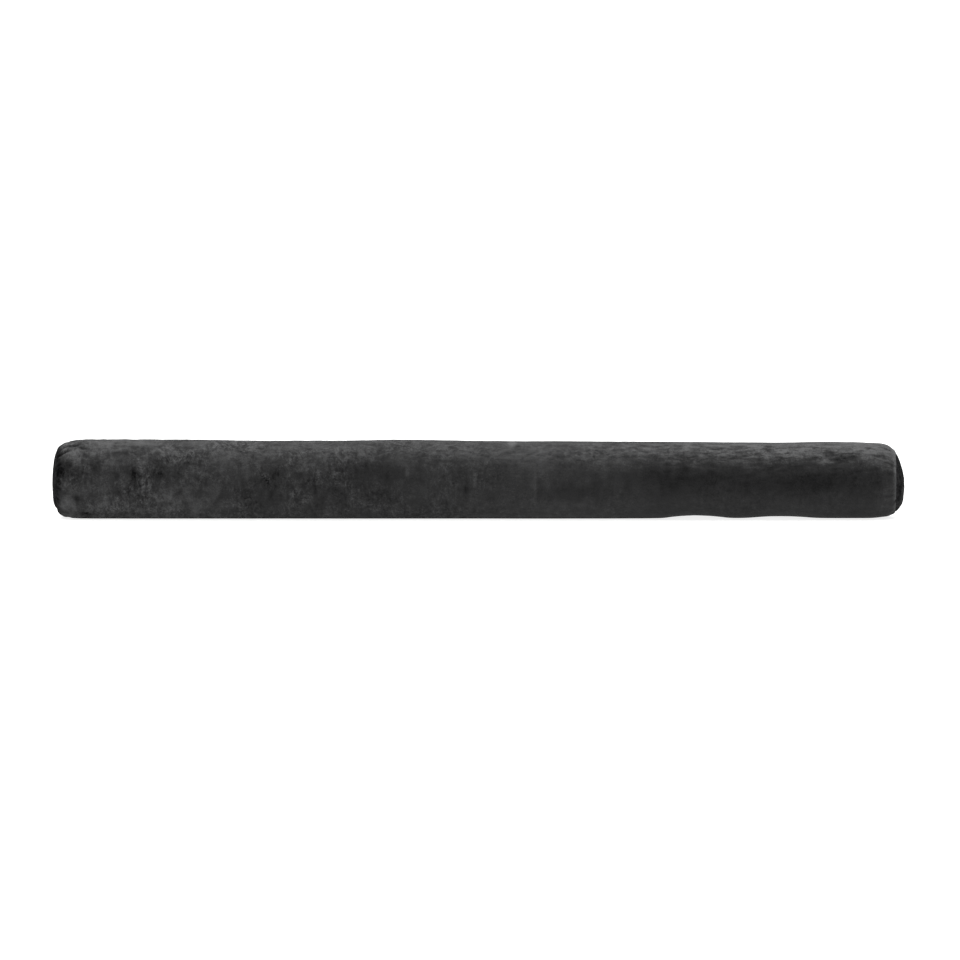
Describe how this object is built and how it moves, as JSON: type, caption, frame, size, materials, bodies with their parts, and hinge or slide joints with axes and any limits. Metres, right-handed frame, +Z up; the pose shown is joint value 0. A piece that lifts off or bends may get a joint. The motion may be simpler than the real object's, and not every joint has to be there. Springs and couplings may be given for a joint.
{
  "type": "draught excluder",
  "caption": "Long stuffed velvet roll with round gathered ends that lies along the foot of a door to stop draughts.",
  "frame": {"origin": "centre of the underside, on the floor that the roll lies on", "axes": "+X along the roll to the end with the fuller panel, -Y to the front, +Z up"},
  "size_m": [0.9, 0.089, 0.0829],
  "materials": {
    "velvet": "charcoal crushed velvet, a short pile that lies in soft patches and streaks"
  },
  "bodies": {
    "root": {"sleeve": "velvet", "end_panel_left": "velvet", "end_panel_right": "velvet"}
  },
  "joints": []
}
